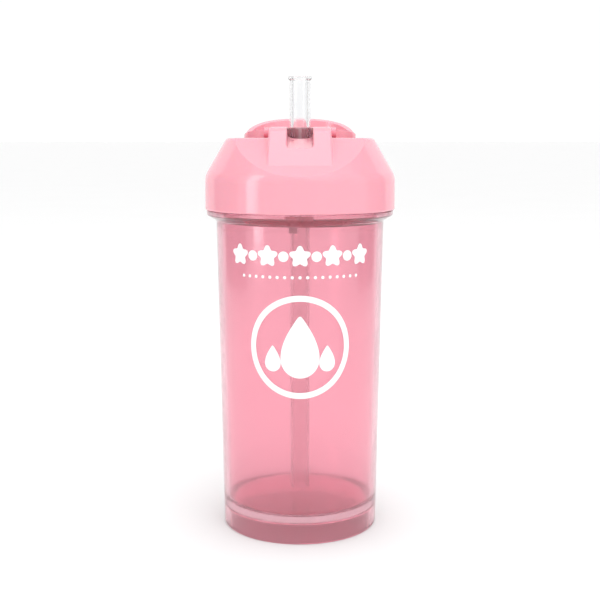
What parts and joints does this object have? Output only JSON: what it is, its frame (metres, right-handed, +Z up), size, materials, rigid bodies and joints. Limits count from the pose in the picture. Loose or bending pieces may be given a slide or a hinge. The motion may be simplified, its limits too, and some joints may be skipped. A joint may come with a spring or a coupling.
{
  "type": "toddler straw cup",
  "caption": "Tall tapered toddler straw cup with a screw lid, a folding silicone straw, a dip tube, an air valve and a flip cover.",
  "frame": {"origin": "middle of the foot ring, on the surface the cup stands on", "axes": "+Z up through the straw, -Y the front, where the slot in the lid opens, +X to the right"},
  "size_m": [0.076, 0.0832, 0.1815],
  "materials": {
    "cup_tint": "glossy moulded copolyester, tinted clear pink",
    "lid_plastic": "glossy moulded polypropylene, opaque pink",
    "straw_silicone": "clear moulded silicone",
    "seal_silicone": "milky moulded silicone",
    "tube_plastic": "clear extruded polypropylene"
  },
  "bodies": {
    "cup": {"cup_body": "cup_tint"},
    "seal": {"rim_gasket": "seal_silicone"},
    "lid": {"lid_shell": "lid_plastic", "straw_root": "straw_silicone", "straw_tube": "tube_plastic", "vent_valve": "seal_silicone"},
    "cover": {"flip_cover": "lid_plastic"},
    "straw": {"straw_spout": "straw_silicone"}
  },
  "joints": [
    {"name": "lid_rise", "type": "slide", "parent": "cup", "child": "seal", "axis": [0, 0, 1], "range_m": [0, 0.008]},
    {"name": "lid_turn", "type": "hinge", "parent": "seal", "child": "lid", "pos_m": [0, 0, 0.14], "axis": [0, 0, 1], "range_deg": [0, 360]},
    {"name": "cover_swing", "type": "hinge", "parent": "lid", "child": "cover", "pos_m": [0, 0.004, 0.1599], "axis": [1, 0, 0], "range_deg": [0, 192]},
    {"name": "straw_fold", "type": "hinge", "parent": "lid", "child": "straw", "pos_m": [0, -0.0064, 0.15735], "axis": [1, 0, 0], "range_deg": [0, 100]}
  ],
  "couplings": [
    {"joint": "lid_rise", "follows": "lid_turn", "m_per_rad": 0.0012732},
    {"joint": "straw_fold", "follows": "cover_swing", "ratio": 0.52083}
  ]
}
